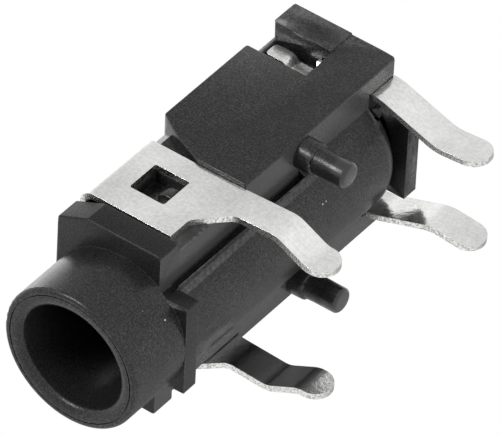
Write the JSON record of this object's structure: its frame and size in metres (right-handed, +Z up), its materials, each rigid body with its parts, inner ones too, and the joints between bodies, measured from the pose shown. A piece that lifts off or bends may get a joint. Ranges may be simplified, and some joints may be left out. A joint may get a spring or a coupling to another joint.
{
  "type": "audio jack socket",
  "caption": "Board-mounted socket for a 3.5 mm audio plug: a black moulding with a round nose, a folded metal clip, kinked solder legs and locating pegs.",
  "frame": {"origin": "on the board's upper face, midway between the two locating pegs", "axes": "+Z up from the board, +Y the way the plug goes in, +X across"},
  "size_m": [0.0066, 0.0143, 0.008],
  "materials": {
    "plastic": "satin black with a fine moulded grain",
    "plated": "bright satin tin plate"
  },
  "bodies": {
    "socket": {"housing": "plastic", "sleeve_clip": "plated", "tip_terminal": "plated", "ring_terminal": "plated"},
    "sleeve_contact": {"sleeve_spring": "plated"},
    "tip_contact": {"tip_spring": "plated"},
    "ring_contact": {"ring_spring": "plated"}
  },
  "joints": [
    {"name": "sleeve_bend", "type": "hinge", "parent": "socket", "child": "sleeve_contact", "pos_m": [0, -0.00337, 0.00484], "axis": [-1, 0, 0], "range_deg": [0, 14], "stiffness_Nm_per_rad": 0.02},
    {"name": "tip_bend", "type": "hinge", "parent": "socket", "child": "tip_contact", "pos_m": [0.002, -0.00181, 0.0025], "axis": [0, 0, -1], "range_deg": [0, 9], "stiffness_Nm_per_rad": 0.03},
    {"name": "ring_bend", "type": "hinge", "parent": "socket", "child": "ring_contact", "pos_m": [-0.0024, 0.00253, 0.0025], "axis": [0, 0, -1], "range_deg": [0, 9], "stiffness_Nm_per_rad": 0.03}
  ]
}
